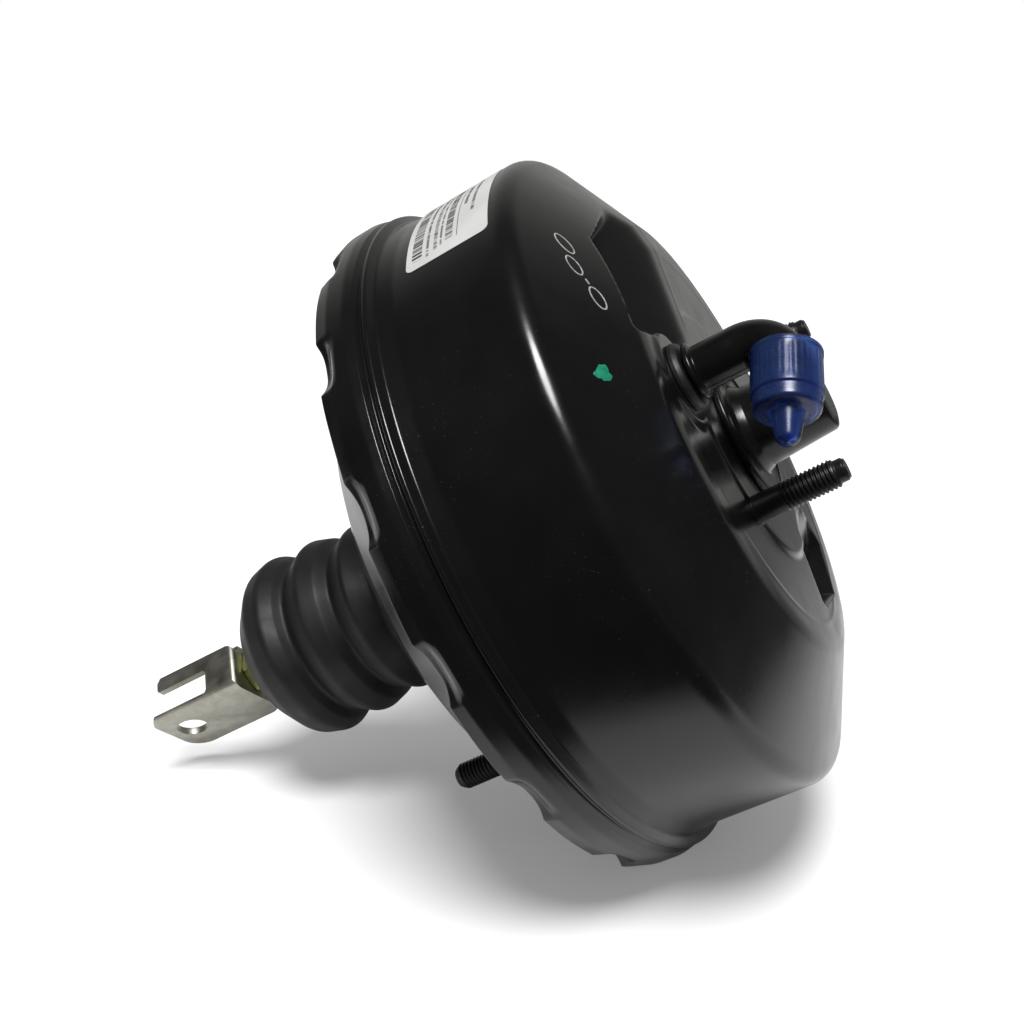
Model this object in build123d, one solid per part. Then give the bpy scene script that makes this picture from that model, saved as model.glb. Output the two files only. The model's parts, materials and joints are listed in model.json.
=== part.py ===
from build123d import *
import os
from math import sin, cos, tan, acos, radians

os.makedirs("parts", exist_ok=True)

# ---- frame: origin on the rear mounting face, X forward along the booster axis, Y left, Z up (mm) ----
SHEET = 1.8            # shell sheet thickness
SKIRT_R = 126.0        # outer radius of the crimped skirt
SKIRT_X0 = 33.5        # rear edge of the skirt
BEAD_R = 124.5         # outer radius of the bead beside the seam
WALL_R = 120.0         # outer radius of the straight wall
FACE_X = 124.5         # front mounting face
PLATEAU_R = 76.0       # radius of the flat front plateau
HOLE_R = 21.0          # master-cylinder opening
REST = 0.3             # depth of the rests around the opening and the valve
NOTCH_N = 15           # crimp notches around the skirt
NOTCH_A0 = 137.6       # angle of one notch, degrees
NOTCH_HALF = 4.3       # half width of a notch, degrees
FSTUD_R = 45.0         # radius of the master-cylinder studs
FSTUD_A = 3.2          # angle of the left one, degrees
NECK_R = 5.4           # stud neck through the sheet
STUD_R = 4.95          # M10 thread, outer radius
RSTUD_R = 72.0         # radius of the firewall studs
RSTUD_A = 45.0         # angle of the upper firewall stud, degrees
SLEEVE_R = 29.0        # rear sleeve outer radius
SLEEVE_X = -21.0       # rear end of the sleeve
HUB_R = 17.5           # sliding hub radius
RUN = 0.05             # radial clearance of a running fit
VALVE_YZ = (-34.1, 46.9)   # check valve position
VALVE_R = 7.7          # check valve arm radius
VALVE_JX = 160.3       # where the arm meets the outlet axis
OUT_DIR = Vector(-0.28, -0.876, -0.398).normalized()   # outlet direction
ROD_R = 4.95           # input rod, M10
BALL_X = 2.0           # centre of the rod's ball
CLEVIS_HOLE_X = -129.3 # pin hole
CLEVIS_PIN_R = 6.2
CLEVIS_A = 24.6        # angle of the clevis pin direction in YZ, degrees
PISTON_STROKE = 24.0

NODES = {}


def keep(name, shape):
    NODES[name] = shape


def rounded_face(pts):
    """Closed face in XY from (x, r[, fillet]) points."""
    n = len(pts)
    edges = []
    ends = []
    for i in range(n):
        p = Vector(pts[i][0], pts[i][1])
        f = pts[i][2] if len(pts[i]) > 2 else 0
        a = Vector(pts[i - 1][0], pts[i - 1][1]) - p
        b = Vector(pts[(i + 1) % n][0], pts[(i + 1) % n][1]) - p
        u, v = a.normalized(), b.normalized()
        half = acos(max(-1.0, min(1.0, u.dot(v)))) / 2
        if f <= 0 or half > radians(89.3) or half < radians(1):
            ends.append((p, p))
            continue
        d = min(f / tan(half), 0.48 * a.length, 0.48 * b.length)
        f = d * tan(half)
        p1, p2 = p + u * d, p + v * d
        m = (u + v).normalized()
        mid = p + m * (f / sin(half) - f)
        edges.append(ThreePointArc(p1, mid, p2))
        ends.append((p1, p2))
    for i in range(n):
        q1 = ends[i][1]
        q2 = ends[(i + 1) % n][0]
        if (q2 - q1).length > 1e-6:
            edges.append(Line(q1, q2))
    return make_face(Wire(edges))


def spin(pts):
    return revolve(rounded_face(pts), Axis.X, 360)


def tube_x(x0, x1, ro, ri=0.0, y=0.0, z=0.0):
    s = Pos(x0, y, z) * Rot(0, 90, 0) * Cylinder(ro, x1 - x0, align=(Align.CENTER, Align.CENTER, Align.MIN))
    if ri > 0:
        s -= Pos(x0 - 1, y, z) * Rot(0, 90, 0) * Cylinder(ri, x1 - x0 + 2, align=(Align.CENTER, Align.CENTER, Align.MIN))
    return s


def sector(r0, r1, x0, x1, a, half):
    """Ring sector about X, centred on angle a."""
    s = tube_x(x0, x1, r1, r0)
    w = 3 * r1
    wedge = Polyline((0, 0, 0), (0, w * cos(radians(a - half)), w * sin(radians(a - half))),
                     (0, w * cos(radians(a + half)), w * sin(radians(a + half))), close=True)
    return s & (Pos(x0 - 1, 0, 0) * extrude(make_face(wedge), amount=x1 - x0 + 2, dir=(1, 0, 0)))


def one(shape):
    sol = shape.solids()
    return sol[0] if len(sol) == 1 else max(sol, key=lambda s: s.volume)


def coil(x0, x1, r, wire, turns, right=True):
    """Closed and ground-looking coil spring between x0 and x1 (outer faces)."""
    h = x1 - x0 - 2 * wire
    hx = Helix(pitch=h / turns, height=h, radius=r, center=(0, 0, wire))
    prof = Plane(origin=hx @ 0, z_dir=hx % 0) * Circle(wire)
    s = sweep(prof, path=hx, is_frenet=True)
    s = Pos(x0, 0, 0) * Rot(0, 90, 0) * s
    return s


# ------------------------------------------------------------------ front shell
outer = spin([(SKIRT_X0, 0), (SKIRT_X0, SKIRT_R - 1.4, 0.4), (38.5, SKIRT_R, 4.0), (45.0, SKIRT_R, 5.0), (48.1, SKIRT_R - 0.9, 0.4),
              (49.5, SKIRT_R - 2.9, 0.3), (50.3, SKIRT_R - 2.8, 0.3), (51.2, BEAD_R, 0.7), (52.5, BEAD_R, 0.9), (54.5, 121.4, 1.2),
              (57.0, WALL_R, 2.0), (102.5, WALL_R, 7.5), (122.5, 82.5, 8.0),
              (FACE_X, PLATEAU_R - 4, 4.0), (FACE_X, 0)])
inner = spin([(SKIRT_X0 - 1, 0), (SKIRT_X0 - 1, SKIRT_R - 3.5), (38.6, SKIRT_R - SHEET, 3.0), (47.5, SKIRT_R - SHEET, 0.3),
              (48.9, 121.3, 0.5), (53.4, 119.6, 1.0), (57.0, WALL_R - SHEET, 2.0), (101.4, WALL_R - SHEET, 5.7), (120.8, 81.9, 6.2),
              (FACE_X - SHEET, PLATEAU_R - 4.2, 2.2), (FACE_X - SHEET, 0)])


def pocket(grow):
    """Pressed pockets above and below the centre plateau, with floors that slope down to the right."""
    tool = None
    for sgn in (1, -1):
        p = Polyline((0, -38 - grow, sgn * (72 + grow)), (0, -6, sgn * (43 - grow)), (0, 14 + grow, sgn * (40 - grow)),
                     (0, 56 + grow, sgn * (62 - grow)), (0, 48 + grow, sgn * (82 + grow)), (0, -5 - grow, sgn * (90 + grow)), close=True)
        b = Pos(90, 0, 0) * extrude(make_face(p), amount=60, dir=(1, 0, 0))
        b = fillet(b.edges().filter_by(Axis.X), 5 + grow)
        n = Vector(1, -0.28, sgn * 0.38).normalized()
        floor = Plane(origin=Vector(114.5, 0, sgn * 68.0) - n * grow, z_dir=n)
        b = b & (floor * Box(400, 400, 80, align=(Align.CENTER, Align.CENTER, Align.MIN)))
        tool = b if tool is None else tool + b
    seat = tube_x(80, 170, 17.0 - grow, 0, *VALVE_YZ)
    return tool - seat


outer = outer - pocket(0)
inner = inner - pocket(SHEET)
shell = outer - inner
shell -= tube_x(100, 140, HOLE_R)
fy, fz = FSTUD_R * cos(radians(FSTUD_A)), FSTUD_R * sin(radians(FSTUD_A))
for sy in (1, -1):
    shell -= tube_x(100, 140, NECK_R + RUN, 0, sy * fy, sy * fz)
shell -= tube_x(100, 140, 9.0, 0, *VALVE_YZ)
shell -= tube_x(FACE_X - REST, 140, 28.0)          # rest for the spigot's seal
shell -= tube_x(FACE_X - REST, 140, 16.2, 0, *VALVE_YZ)
for k in range(NOTCH_N):
    a = NOTCH_A0 + k * 360.0 / NOTCH_N
    shell -= sector(SKIRT_R - SHEET - 3, SKIRT_R + 2, SKIRT_X0 - 1, 37.4, a, NOTCH_HALF)
for k in range(NOTCH_N):
    a = NOTCH_A0 + k * 360.0 / NOTCH_N
    shell += sector(SKIRT_R - 6.5, SKIRT_R - SHEET + 0.9, 37.4, 38.9, a, NOTCH_HALF - 0.8)
keep("front_shell", one(shell))

# ------------------------------------------------------------------ rear shell
r_out = spin([(40.8, 0), (40.8, SKIRT_R - SHEET - 0.1), (39.0, SKIRT_R - SHEET - 0.1), (39.0, 118.6, 2.0), (11.4, 86.0, 10.0),
              (1.3, 68.0, 9.0), (0.0, 60.0, 4.0), (0.0, 0)])
r_in = spin([(42.0, 0), (42.0, 119.3), (40.8, 117.9), (12.8, 84.9, 8.2), (3.0, 67.2, 7.2), (SHEET, 59.4, 2.2), (SHEET, 0)])
ry, rz = RSTUD_R * cos(radians(RSTUD_A)), RSTUD_R * sin(radians(RSTUD_A))
pad_o = Rot(RSTUD_A, 0, 0) * extrude(Plane.YZ * SlotCenterToCenter(2 * RSTUD_R, 26.0), amount=20)
pad_i = Rot(RSTUD_A, 0, 0) * extrude(Plane.YZ.offset(SHEET) * SlotCenterToCenter(2 * RSTUD_R, 26.0 - 2 * SHEET), amount=20)
r_out += pad_o & spin([(0, 0), (0, 86), (20, 99.0), (20, 0)])
r_in += pad_i & spin([(0, 0), (0, 84.0), (22, 99.0), (22, 0)])
rear = r_out - r_in
rear = rear + tube_x(SLEEVE_X, 0.8, SLEEVE_R)
rear -= tube_x(SLEEVE_X + SHEET, 5, SLEEVE_R - SHEET)
rear -= tube_x(SLEEVE_X - 1, 5, 24.0)
for s in (1, -1):
    rear -= tube_x(-5, 20, NECK_R + RUN, 0, s * ry, s * rz)
keep("rear_shell", one(rear))

# ------------------------------------------------------------------ reinforcements and studs
plate = extrude(Plane.YZ.offset(FACE_X - SHEET - 3.05) * RectangleRounded(2 * 62, 2 * 32, 14), amount=3.0)
plate -= tube_x(100, 140, HOLE_R + 0.4)
for sy in (1, -1):
    plate -= tube_x(100, 140, NECK_R + RUN, 0, sy * fy, sy * fz)
plate -= tube_x(100, 140, 15.0, 0, *VALVE_YZ)
keep("front_reinforcement", one(plate))

rplate = tube_x(SHEET + 0.05, SHEET + 2.65, 54.0, 31.0)
bar = Rot(RSTUD_A, 0, 0) * extrude(Plane.YZ.offset(SHEET + 0.05) * SlotCenterToCenter(2 * RSTUD_R, 19), amount=2.6)
bar -= tube_x(0, 10, 31.0)
rplate = rplate + bar
for s in (1, -1):
    rplate -= tube_x(-5, 20, NECK_R + RUN, 0, s * ry, s * rz)
keep("rear_reinforcement", one(rplate))


def stud(xf, xn, xt, head, dog, y, z):
    """Stud from its head at xf, with its neck up to xn, to its tip at xt; dog is the plain end."""
    d = 1 if xt > xf else -1
    s = tube_x(min(xf, xf + d * head), max(xf, xf + d * head), 8.6, 0, y, z)
    s += tube_x(min(xf, xn), max(xf, xn), NECK_R, 0, y, z)
    s += tube_x(min(xn, xt - d * dog), max(xn, xt - d * dog), STUD_R, 0, y, z)
    a, b = xt - d * (dog + 0.1), xt
    s += tube_x(min(a, b), max(a, b), 4.0, 0, y, z)
    return one(s)


HEAD_X = FACE_X - SHEET - 3.1
keep("front_stud_left", stud(HEAD_X - 3.2, FACE_X, 156.0, 3.2, 3.4, fy, fz))
keep("front_stud_right", stud(HEAD_X - 3.2, FACE_X, 156.0, 3.2, 3.4, -fy, -fz))
keep("rear_stud_upper", stud(SHEET + 2.7 + 3.2, 0.0, -24.0, 3.2, 3.0, ry, rz))
keep("rear_stud_lower", stud(SHEET + 2.7 + 3.2, 0.0, -24.0, 3.2, 3.0, -ry, -rz))

# ------------------------------------------------------------------ front seal and plate
keep("seal_plate", one(spin([(113.3, 12.0), (119.6, 12.0), (119.6, 35.5), (117.8, 35.5), (117.8, 14.0, 1.0), (113.3, 14.0)])))
keep("rod_seal", one(spin([(113.5, 6.5 + RUN), (119.2, 6.5 + RUN), (119.2, 8.4, 0.5), (117.0, 8.4, 0.5), (117.0, 11.95, 0.5),
                           (113.5, 11.95, 0.5)])))

# ------------------------------------------------------------------ master-cylinder opening cap
CAP_X = FACE_X - REST + 0.05                       # underside of the cap's flange
cap = spin([(CAP_X, 0), (CAP_X, 27.0), (CAP_X + 2.5, 27.0, 1.0), (CAP_X + 3.3, 15.0, 1.0), (156.0, 12.9, 2.0), (156.0, 0)])
cap += tube_x(FACE_X - 4.6, CAP_X + 0.1, HOLE_R - 0.05, HOLE_R - 2.0)
cap -= tube_x(FACE_X - 1.0, 154.3, 11.2)
cap -= tube_x(FACE_X - 5.0, CAP_X + 1.2, HOLE_R - 2.0)
keep("opening_cap", one(cap))

# ------------------------------------------------------------------ check valve
vy, vz = VALVE_YZ


def vspin(pts):
    return Pos(0, vy, vz) * spin(pts)


keep("valve_grommet", one(vspin([(119.0, 6.0), (128.4, 6.0), (128.4, 12.2, 0.8), (125.2, 13.2, 0.7), (124.25, 13.2), (124.25, 8.95),
                                 (122.65, 8.95), (122.65, 11.2), (121.0, 11.2, 0.8), (119.0, 8.6, 0.8)])))

J = Vector(VALVE_JX, vy, vz)
BEND = 12.0
ang = OUT_DIR.get_angle(Vector(1, 0, 0))          # turn of the elbow, degrees
tl = BEND * tan(radians(ang) / 2)
A_END = VALVE_JX - tl                             # end of the straight arm
arm = tube_x(129.9, A_END, VALVE_R, 0, vy, vz)
p0 = Vector(A_END, vy, vz)
p1 = J + OUT_DIR * tl
mdir = (Vector(-1, 0, 0) + OUT_DIR).normalized()
cen = J + mdir * (BEND / cos(radians(ang) / 2))
turn_axis = Axis(cen, Vector(1, 0, 0).cross(OUT_DIR))
P0 = Plane(origin=p0, z_dir=(1, 0, 0))


def bend_of(r):
    return revolve(P0 * Circle(r), turn_axis, ang)


OUT = Plane(origin=p1, z_dir=OUT_DIR)
NOZ = 12.8                                        # nozzle length past the bend
nozzle_prof = rounded_face([(0.0, 0), (0.0, VALVE_R), (1.5, VALVE_R), (1.5, 5.2), (NOZ - 5.0, 5.2), (NOZ - 5.0, 6.1, 0.3),
                            (NOZ, 4.6, 0.5), (NOZ, 0)])


def along(pl, face):
    """Revolve an (s, r) face about the z axis of a plane."""
    sol = revolve(face, Axis.X, 360)
    return pl * (Rot(0, -90, 0) * sol)


nozzle = along(OUT, nozzle_prof)
body = vspin([(116.2, 0), (116.2, 5.3), (117.6, 7.0, 0.4), (118.9, 7.0, 0.4), (118.9, 5.95), (128.45, 5.95), (128.45, 10.4, 0.5),
              (131.0, 10.4, 0.8), (131.0, 0)])
body = body + arm + bend_of(VALVE_R) + nozzle
SEAT_X = 133.0
body -= tube_x(115, SEAT_X + 0.1, 3.2, 0, vy, vz)
body -= tube_x(SEAT_X, A_END - 0.5, 5.9, 0, vy, vz)
CAPP = Plane(origin=p1 - OUT_DIR * 5.7, z_dir=OUT_DIR)
body -= along(CAPP, rounded_face([(-0.4, 9.3), (9.0, 9.3), (9.0, 11.9), (-0.4, 11.9)]))   # relief for the outlet cap's rim
bore = tube_x(A_END - 0.6, A_END, 3.6, 0, vy, vz) + bend_of(3.6)
bore += along(OUT, rounded_face([(0.0, 0), (0.0, 3.6), (NOZ + 1, 3.6), (NOZ + 1, 0)]))
body -= bore
keep("check_valve_elbow", one(body))
keep("check_valve_disc", one(vspin([(SEAT_X + 0.05, 0), (SEAT_X + 0.05, 4.9), (SEAT_X + 1.8, 4.9, 0.3), (SEAT_X + 1.8, 1.8),
                                    (SEAT_X + 4.0, 1.6, 0.3), (SEAT_X + 4.0, 0)])))
keep("check_valve_spring", one(Pos(0, vy, vz) * coil(SEAT_X + 1.9, A_END - 0.7, 4.2, 0.3, 4)))

# outlet cap: open rim over the end of the bend, stepped closed end with a nipple
cap_o = rounded_face([(0, 0), (0, 11.2, 0.5), (15.8, 11.2, 0.5), (16.3, 10.5), (21.0, 10.3, 1.4), (21.4, 4.9, 0.5), (30.6, 3.5, 1.8), (32.2, 0)])
cap_i = rounded_face([(-1, 0), (-1, 9.7), (14.5, 9.7, 0.8), (15.4, 9.0), (19.8, 8.9, 0.8), (20.1, 3.4, 0.4), (29.0, 2.0, 0.8), (30.4, 0)])
ocap = along(CAPP, cap_o) - along(CAPP, cap_i)
grip = along(CAPP, rounded_face([(9.6, 6.25), (17.4, 6.25), (17.4, 9.3), (16.4, 9.3), (16.4, 7.2), (9.6, 7.2)]))
keep("outlet_cap", one(ocap + grip))

# ------------------------------------------------------------------ label
lab = sector(WALL_R + 0.03, WALL_R + 0.18, 65.0, 97.0, 88.0, 14.0)
keep("label", one(lab))

# ------------------------------------------------------------------ rear bearing and seal
keep("hub_bearing", one(spin([(-8.5, HUB_R + RUN), (-1.5, HUB_R + RUN), (-1.5, 27.1), (-8.5, 27.1)])))
keep("hub_seal", one(spin([(-16.6, HUB_R + RUN), (-8.7, HUB_R + RUN), (-8.7, 27.1, 0.5), (-13.0, 27.1, 0.5), (-13.0, 22.0, 1.0), (-16.6, 20.5, 0.8)])))
keep("seal_retainer", one(spin([(-0.0 - 1.3, 22.0), (0.6, 22.0), (0.6, 27.1), (-1.3, 27.1)])))

# ------------------------------------------------------------------ power piston
KEY_X0, KEY_X1 = 10.0, 13.0                       # stop key thickness
hub = spin([(-56.0, 14.6), (-56.0, HUB_R, 0.6), (14.0, HUB_R), (14.0, 40.0, 0.8), (18.0, 40.0, 0.8), (18.0, 22.0), (34.0, 22.0, 0.8),
            (34.0, 11.1), (26.0, 11.1), (26.0, 6.5), (-8.0, 6.5), (-8.0, 9.3), (-10.5, 9.3), (-10.5, 14.6)])
hub -= Pos((KEY_X0 + KEY_X1) / 2, 0, 0) * Box(KEY_X1 - KEY_X0 + 0.6, 60.0, 12.4)
for s in (45, 135, 225, 315):
    hub -= Pos(0, 13.4 * cos(radians(s)), 13.4 * sin(radians(s))) * tube_x(-11, 35, 1.5)
keep("valve_body", one(hub))

key = Pos((KEY_X0 + KEY_X1) / 2, 0, 0) * Box(KEY_X1 - KEY_X0, 31.0, 12.0)
key -= tube_x(KEY_X0 - 1, KEY_X1 + 1, 3.7)
key -= Pos((KEY_X0 + KEY_X1) / 2, -12.0, 0) * Box(KEY_X1 - KEY_X0 + 2, 24.0, 7.4)
keep("stop_key", one(key))

keep("diaphragm_plate", one(spin([(18.1, 22.1), (19.6, 22.1), (19.6, 73.4, 3.4), (34.4, 94.2, 3.0), (39.5, 95.0, 0.6),
                                  (39.5, 96.5, 0.6), (33.6, 95.7, 4.4), (18.1, 74.1, 4.8)])))
keep("diaphragm", one(spin([(16.0, 40.2), (18.0, 40.2), (18.0, 74.3, 4.8), (33.3, 95.9, 4.4), (41.6, 96.8, 1.0), (46.6, 99.4, 3.0),
                            (46.6, 112.0, 3.0), (47.2, 120.2, 1.0), (47.2, 124.1, 0.8), (41.0, 124.1, 0.8), (41.0, 118.4, 1.0),
                            (43.4, 116.0, 1.2), (44.6, 111.0, 2.0), (44.6, 101.6, 1.6), (40.6, 98.8, 1.0), (32.5, 97.8, 6.2),
                            (16.0, 75.2, 6.6)])))

keep("reaction_disc", one(spin([(26.05, 0), (26.05, 11.0, 0.4), (30.6, 11.0, 0.4), (30.6, 0)])))
keep("output_rod", one(spin([(30.7, 0), (30.7, 11.0, 0.4), (34.2, 11.0, 0.4), (34.2, 6.5, 0.6), (119.5, 6.5, 0.6), (119.5, 3.05),
                             (99.0, 3.05), (99.0, 0)])))
adj = spin([(101.0, 0), (101.0, 3.0), (119.7, 3.0), (119.7, 0)])
adj += extrude(Plane.YZ.offset(119.6) * RegularPolygon(4.6, 6), amount=3.2)
adj += spin([(122.7, 0), (122.7, 3.4), (124.6, 3.4, 1.0), (125.5, 0)])
keep("rod_adjuster", one(adj))
ret = spin([(34.25, 8.0), (35.7, 8.0), (35.7, 23.6, 1.6), (22.0, 23.6), (22.0, 22.15), (34.25, 22.15)])
for s in (45, 135, 225, 315):
    ret -= Pos(0, 13.4 * cos(radians(s)), 13.4 * sin(radians(s))) * tube_x(30, 40, 1.7)
keep("rod_retainer", one(ret))
keep("main_spring", one(coil(19.7, 117.7, 30.0, 2.0, 6)))

# ------------------------------------------------------------------ valve parts inside the hub
plunger = spin([(-13.0, 6.0), (-13.0, 8.9, 0.4), (-11.0, 8.9, 0.4), (-11.0, 6.45), (8.6, 6.45, 0.3), (8.6, 3.5), (13.1, 3.5),
                (13.1, 6.45, 0.3), (24.3, 6.45, 0.4), (24.3, 0), (7.2, 0), (7.2, 5.1), (-0.6, 5.1), (-0.6, 4.6), (-1.6, 4.6),
                (-1.6, 5.1), (-12.0, 5.1)])
keep("valve_plunger", one(plunger))

rod = Pos(BALL_X, 0, 0) * Sphere(5.05)
rod += tube_x(-30.0, BALL_X, 3.6)
rod += spin([(-34.0, 0), (-34.0, ROD_R), (-30.0, ROD_R, 0.5), (-28.5, 3.6), (-28.5, 0)])
rod += tube_x(-109.0, -33.9, ROD_R)
keep("input_rod", one(rod))

keep("poppet_valve", one(spin([(-15.6, 7.2), (-13.1, 7.2, 0.5), (-13.1, 12.6, 0.5), (-14.6, 12.6, 0.5), (-15.6, 11.6), (-22.0, 11.6, 0.5), (-24.0, 14.4, 0.4), (-26.0, 14.4, 0.4),
                               (-26.0, 12.6), (-22.6, 10.2, 0.6), (-15.6, 10.2)])))
keep("poppet_spring", one(coil(-27.6, -15.7, 8.4, 0.45, 4)))
keep("poppet_retainer", one(spin([(-29.4, 7.9), (-27.7, 7.9), (-27.7, 12.4), (-26.1, 12.4), (-26.1, 14.5), (-29.4, 14.5)])))
keep("rod_spring", one(coil(-41.8, -29.5, 11.2, 0.7, 3.5)))
keep("spring_cup", one(spin([(-43.4, ROD_R + 0.02), (-41.9, ROD_R + 0.02), (-41.9, 12.6), (-43.4, 12.6)])))
keep("silencer", one(spin([(-48.0, 7.4), (-44.1, 7.4), (-44.1, 14.5), (-48.0, 14.5)])))
keep("air_filter", one(spin([(-55.4, 7.6), (-48.1, 7.6), (-48.1, 14.5), (-55.4, 14.5)])))

# ------------------------------------------------------------------ dust boot
boot_o = [(-5.0, 31.2, 0.6), (-20.5, 31.2, 2.0), (-28.0, 34.4, 3.4), (-36.0, 30.6, 2.2), (-40.0, 33.6, 3.0), (-47.0, 36.0, 4.5), (-51.8, 33.6, 3.0),
          (-56.2, 31.2, 2.0), (-59.4, 34.8, 2.6), (-64.8, 37.4, 5.0), (-73.0, 35.6, 6.0), (-82.4, 25.0, 9.0), (-85.8, 12.0, 3.0), (-86.5, 8.4, 0.4), (-88.8, 8.2, 0.6)]
T = 1.8
boot_i = [(-88.8, ROD_R + 0.05), (-84.9, ROD_R + 0.05, 0.4), (-83.9, 11.4, 2.2), (-80.6, 24.0, 7.5), (-72.2, 33.6, 4.2), (-64.9, 35.4, 3.2), (-60.2, 33.1, 2.0),
          (-56.2, 29.2, 1.2), (-51.2, 31.8, 2.0), (-47.0, 34.0, 2.7), (-40.8, 31.8, 2.0), (-36.0, 28.6, 1.2), (-28.0, 32.4, 2.0), (-21.3, 29.4, 0.6),
          (-21.2, SLEEVE_R + 0.05), (-5.0, SLEEVE_R + 0.05)]
keep("dust_boot", one(spin(boot_o + boot_i)))

# ------------------------------------------------------------------ clevis and lock nut
CT = 3.0
P_LO, P_HI = -11.5, 7.5          # outer faces across the plate and at the web's edge
Q_N, Q_F = -14.1, 15.5
XB = -95.2                       # front face of the base
XE = -139.7                      # free end of the plate
XF = -134.8                      # free end of the web's finger
XS = -109.7                      # bottom of the slot
# local frame: x along the booster, y = q, z = p
low = extrude(Plane.XY * make_face(Polyline((XE, Q_N), (XB, Q_N), (XB, Q_F), (XE, Q_F), close=True)), amount=CT)
low = Pos(0, 0, P_LO) * low
low = fillet(low.edges().filter_by(Axis.Z).group_by(Axis.X)[0].sort_by(Axis.Y)[-1:], 9.0)
low = fillet(low.edges().filter_by(Axis.Z).group_by(Axis.X)[0].sort_by(Axis.Y)[:1], 4.0)
low -= Pos(CLEVIS_HOLE_X, 0, P_LO - 1) * Cylinder(CLEVIS_PIN_R, CT + 2, align=(Align.CENTER, Align.CENTER, Align.MIN))
web = Pos((XF + XB) / 2, Q_N + CT / 2, (P_LO + P_HI) / 2) * Box(XB - XF, CT, P_HI - P_LO)
web = fillet(web.edges().filter_by(Axis.Y).group_by(Axis.Z)[-1].sort_by(Axis.X)[-1:], 4.0)
slot_lo, slot_hi = -7.9, 1.35
web -= Pos((XF - 5 + XS) / 2, Q_N + CT / 2, (slot_lo + slot_hi) / 2) * Box(XS - XF + 5, CT + 2, slot_hi - slot_lo)
base = Pos(XB - CT / 2, (Q_N + Q_F) / 2, (P_LO + P_HI) / 2) * Box(CT, Q_F - Q_N, P_HI - P_LO)
base = fillet(base.edges().filter_by(Axis.Y).group_by(Axis.Z)[-1].sort_by(Axis.X)[-1:], 2.0)
clev = low + web + base
clev -= tube_x(XB - 10, XB + 5, ROD_R + RUN)
clev = Rot(CLEVIS_A - 90.0, 0, 0) * clev
keep("clevis", one(clev))
nut = extrude(Plane.YZ.offset(XB + 0.08) * RegularPolygon(8.5, 6, major_radius=False), amount=5.6)
nut -= tube_x(XB - 3, XB + 10, ROD_R + 0.02)
keep("lock_nut", one(nut))

for name, s in NODES.items():
    s.label = name
    export_step(s, f"parts/{name}.step")
print(len(NODES), "nodes")
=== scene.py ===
import json
import math

import bmesh
import bpy
import numpy as np
from mathutils import Matrix, Vector

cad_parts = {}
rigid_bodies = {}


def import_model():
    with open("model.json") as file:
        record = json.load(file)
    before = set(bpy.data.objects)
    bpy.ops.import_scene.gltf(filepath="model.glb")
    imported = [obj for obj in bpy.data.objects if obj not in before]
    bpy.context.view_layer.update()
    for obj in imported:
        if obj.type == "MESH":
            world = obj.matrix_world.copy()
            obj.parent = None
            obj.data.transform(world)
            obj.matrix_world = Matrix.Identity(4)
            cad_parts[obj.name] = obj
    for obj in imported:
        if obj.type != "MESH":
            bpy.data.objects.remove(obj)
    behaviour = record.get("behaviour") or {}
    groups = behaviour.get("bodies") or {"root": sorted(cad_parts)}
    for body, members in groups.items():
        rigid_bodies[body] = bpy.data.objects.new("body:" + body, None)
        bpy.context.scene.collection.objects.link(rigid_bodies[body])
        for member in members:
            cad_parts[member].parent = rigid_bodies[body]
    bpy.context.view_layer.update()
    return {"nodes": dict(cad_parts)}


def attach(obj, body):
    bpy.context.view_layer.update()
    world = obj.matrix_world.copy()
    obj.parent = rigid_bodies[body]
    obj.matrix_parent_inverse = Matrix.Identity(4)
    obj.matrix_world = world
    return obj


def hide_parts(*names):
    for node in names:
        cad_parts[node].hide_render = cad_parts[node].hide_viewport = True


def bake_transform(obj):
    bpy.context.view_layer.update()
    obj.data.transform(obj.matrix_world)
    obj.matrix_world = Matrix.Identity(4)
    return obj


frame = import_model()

MM = 0.001
rng = np.random.default_rng(7)


# ============================================================ geometry helpers (all input in mm)
def fillet_line(pts, seg=8, closed=True):
    """(x, r[, fillet]) corners to a smooth list of points."""
    n = len(pts)
    out = []
    for i in range(n):
        p = np.array(pts[i][:2], float)
        f = pts[i][2] if len(pts[i]) > 2 else 0
        if (not closed and i in (0, n - 1)) or f <= 0:
            out.append(p)
            continue
        a = np.array(pts[i - 1][:2], float) - p
        b = np.array(pts[(i + 1) % n][:2], float) - p
        la, lb = np.linalg.norm(a), np.linalg.norm(b)
        u, v = a / la, b / lb
        half = math.acos(max(-1, min(1, float(u @ v)))) / 2
        if half > math.radians(89.5) or half < math.radians(1):
            out.append(p)
            continue
        d = min(f / math.tan(half), 0.48 * la, 0.48 * lb)
        f = d * math.tan(half)
        m = (u + v) / np.linalg.norm(u + v)
        c = p + m * (f / math.sin(half))
        p1, p2 = p + u * d, p + v * d
        a1 = math.atan2(*(p1 - c)[::-1])
        a2 = math.atan2(*(p2 - c)[::-1])
        da = (a2 - a1 + math.pi) % (2 * math.pi) - math.pi
        k = max(2, int(round(seg * abs(da) / (math.pi / 2))) + 1)
        for t in np.linspace(0, 1, k + 1):
            out.append(c + f * np.array([math.cos(a1 + da * t), math.sin(a1 + da * t)]))
    return np.array(out)


def dense(pts, step, closed=False):
    """Adds points on long segments."""
    out = []
    n = len(pts)
    for i in range(n if closed else n - 1):
        a, b = pts[i], pts[(i + 1) % n]
        k = max(1, int(math.ceil(np.linalg.norm(b - a) / step)))
        for j in range(k):
            out.append(a + (b - a) * j / k)
    if not closed:
        out.append(pts[-1])
    return np.array(out)


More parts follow.
